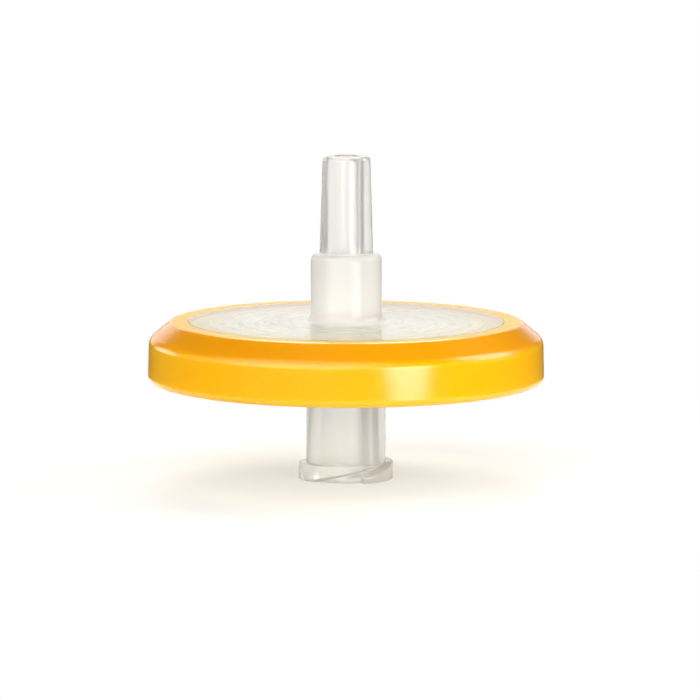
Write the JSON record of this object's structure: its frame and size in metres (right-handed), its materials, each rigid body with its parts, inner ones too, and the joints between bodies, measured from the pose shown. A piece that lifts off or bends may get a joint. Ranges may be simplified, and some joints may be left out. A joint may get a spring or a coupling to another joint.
{
  "type": "syringe filter",
  "caption": "Disposable syringe filter: clear round housing with an overmoulded yellow ring, a female luer lock inlet below and a male luer slip outlet on top.",
  "frame": {"origin": "centre of the inlet's mouth, on the plane that the filter stands on", "axes": "+Z runs with the flow, from the inlet up to the outlet's tip; -Y is the side that faces the viewer"},
  "size_m": [0.033, 0.033, 0.0269],
  "materials": {
    "clear_plastic": "glossy, slightly milky clear plastic",
    "membrane": "matte white porous film",
    "ring_plastic": "glossy opaque yellow plastic"
  },
  "bodies": {
    "root": {"inlet_housing": "clear_plastic", "outlet_housing": "clear_plastic", "filter_membrane": "membrane", "overmold_ring": "ring_plastic"}
  },
  "joints": []
}
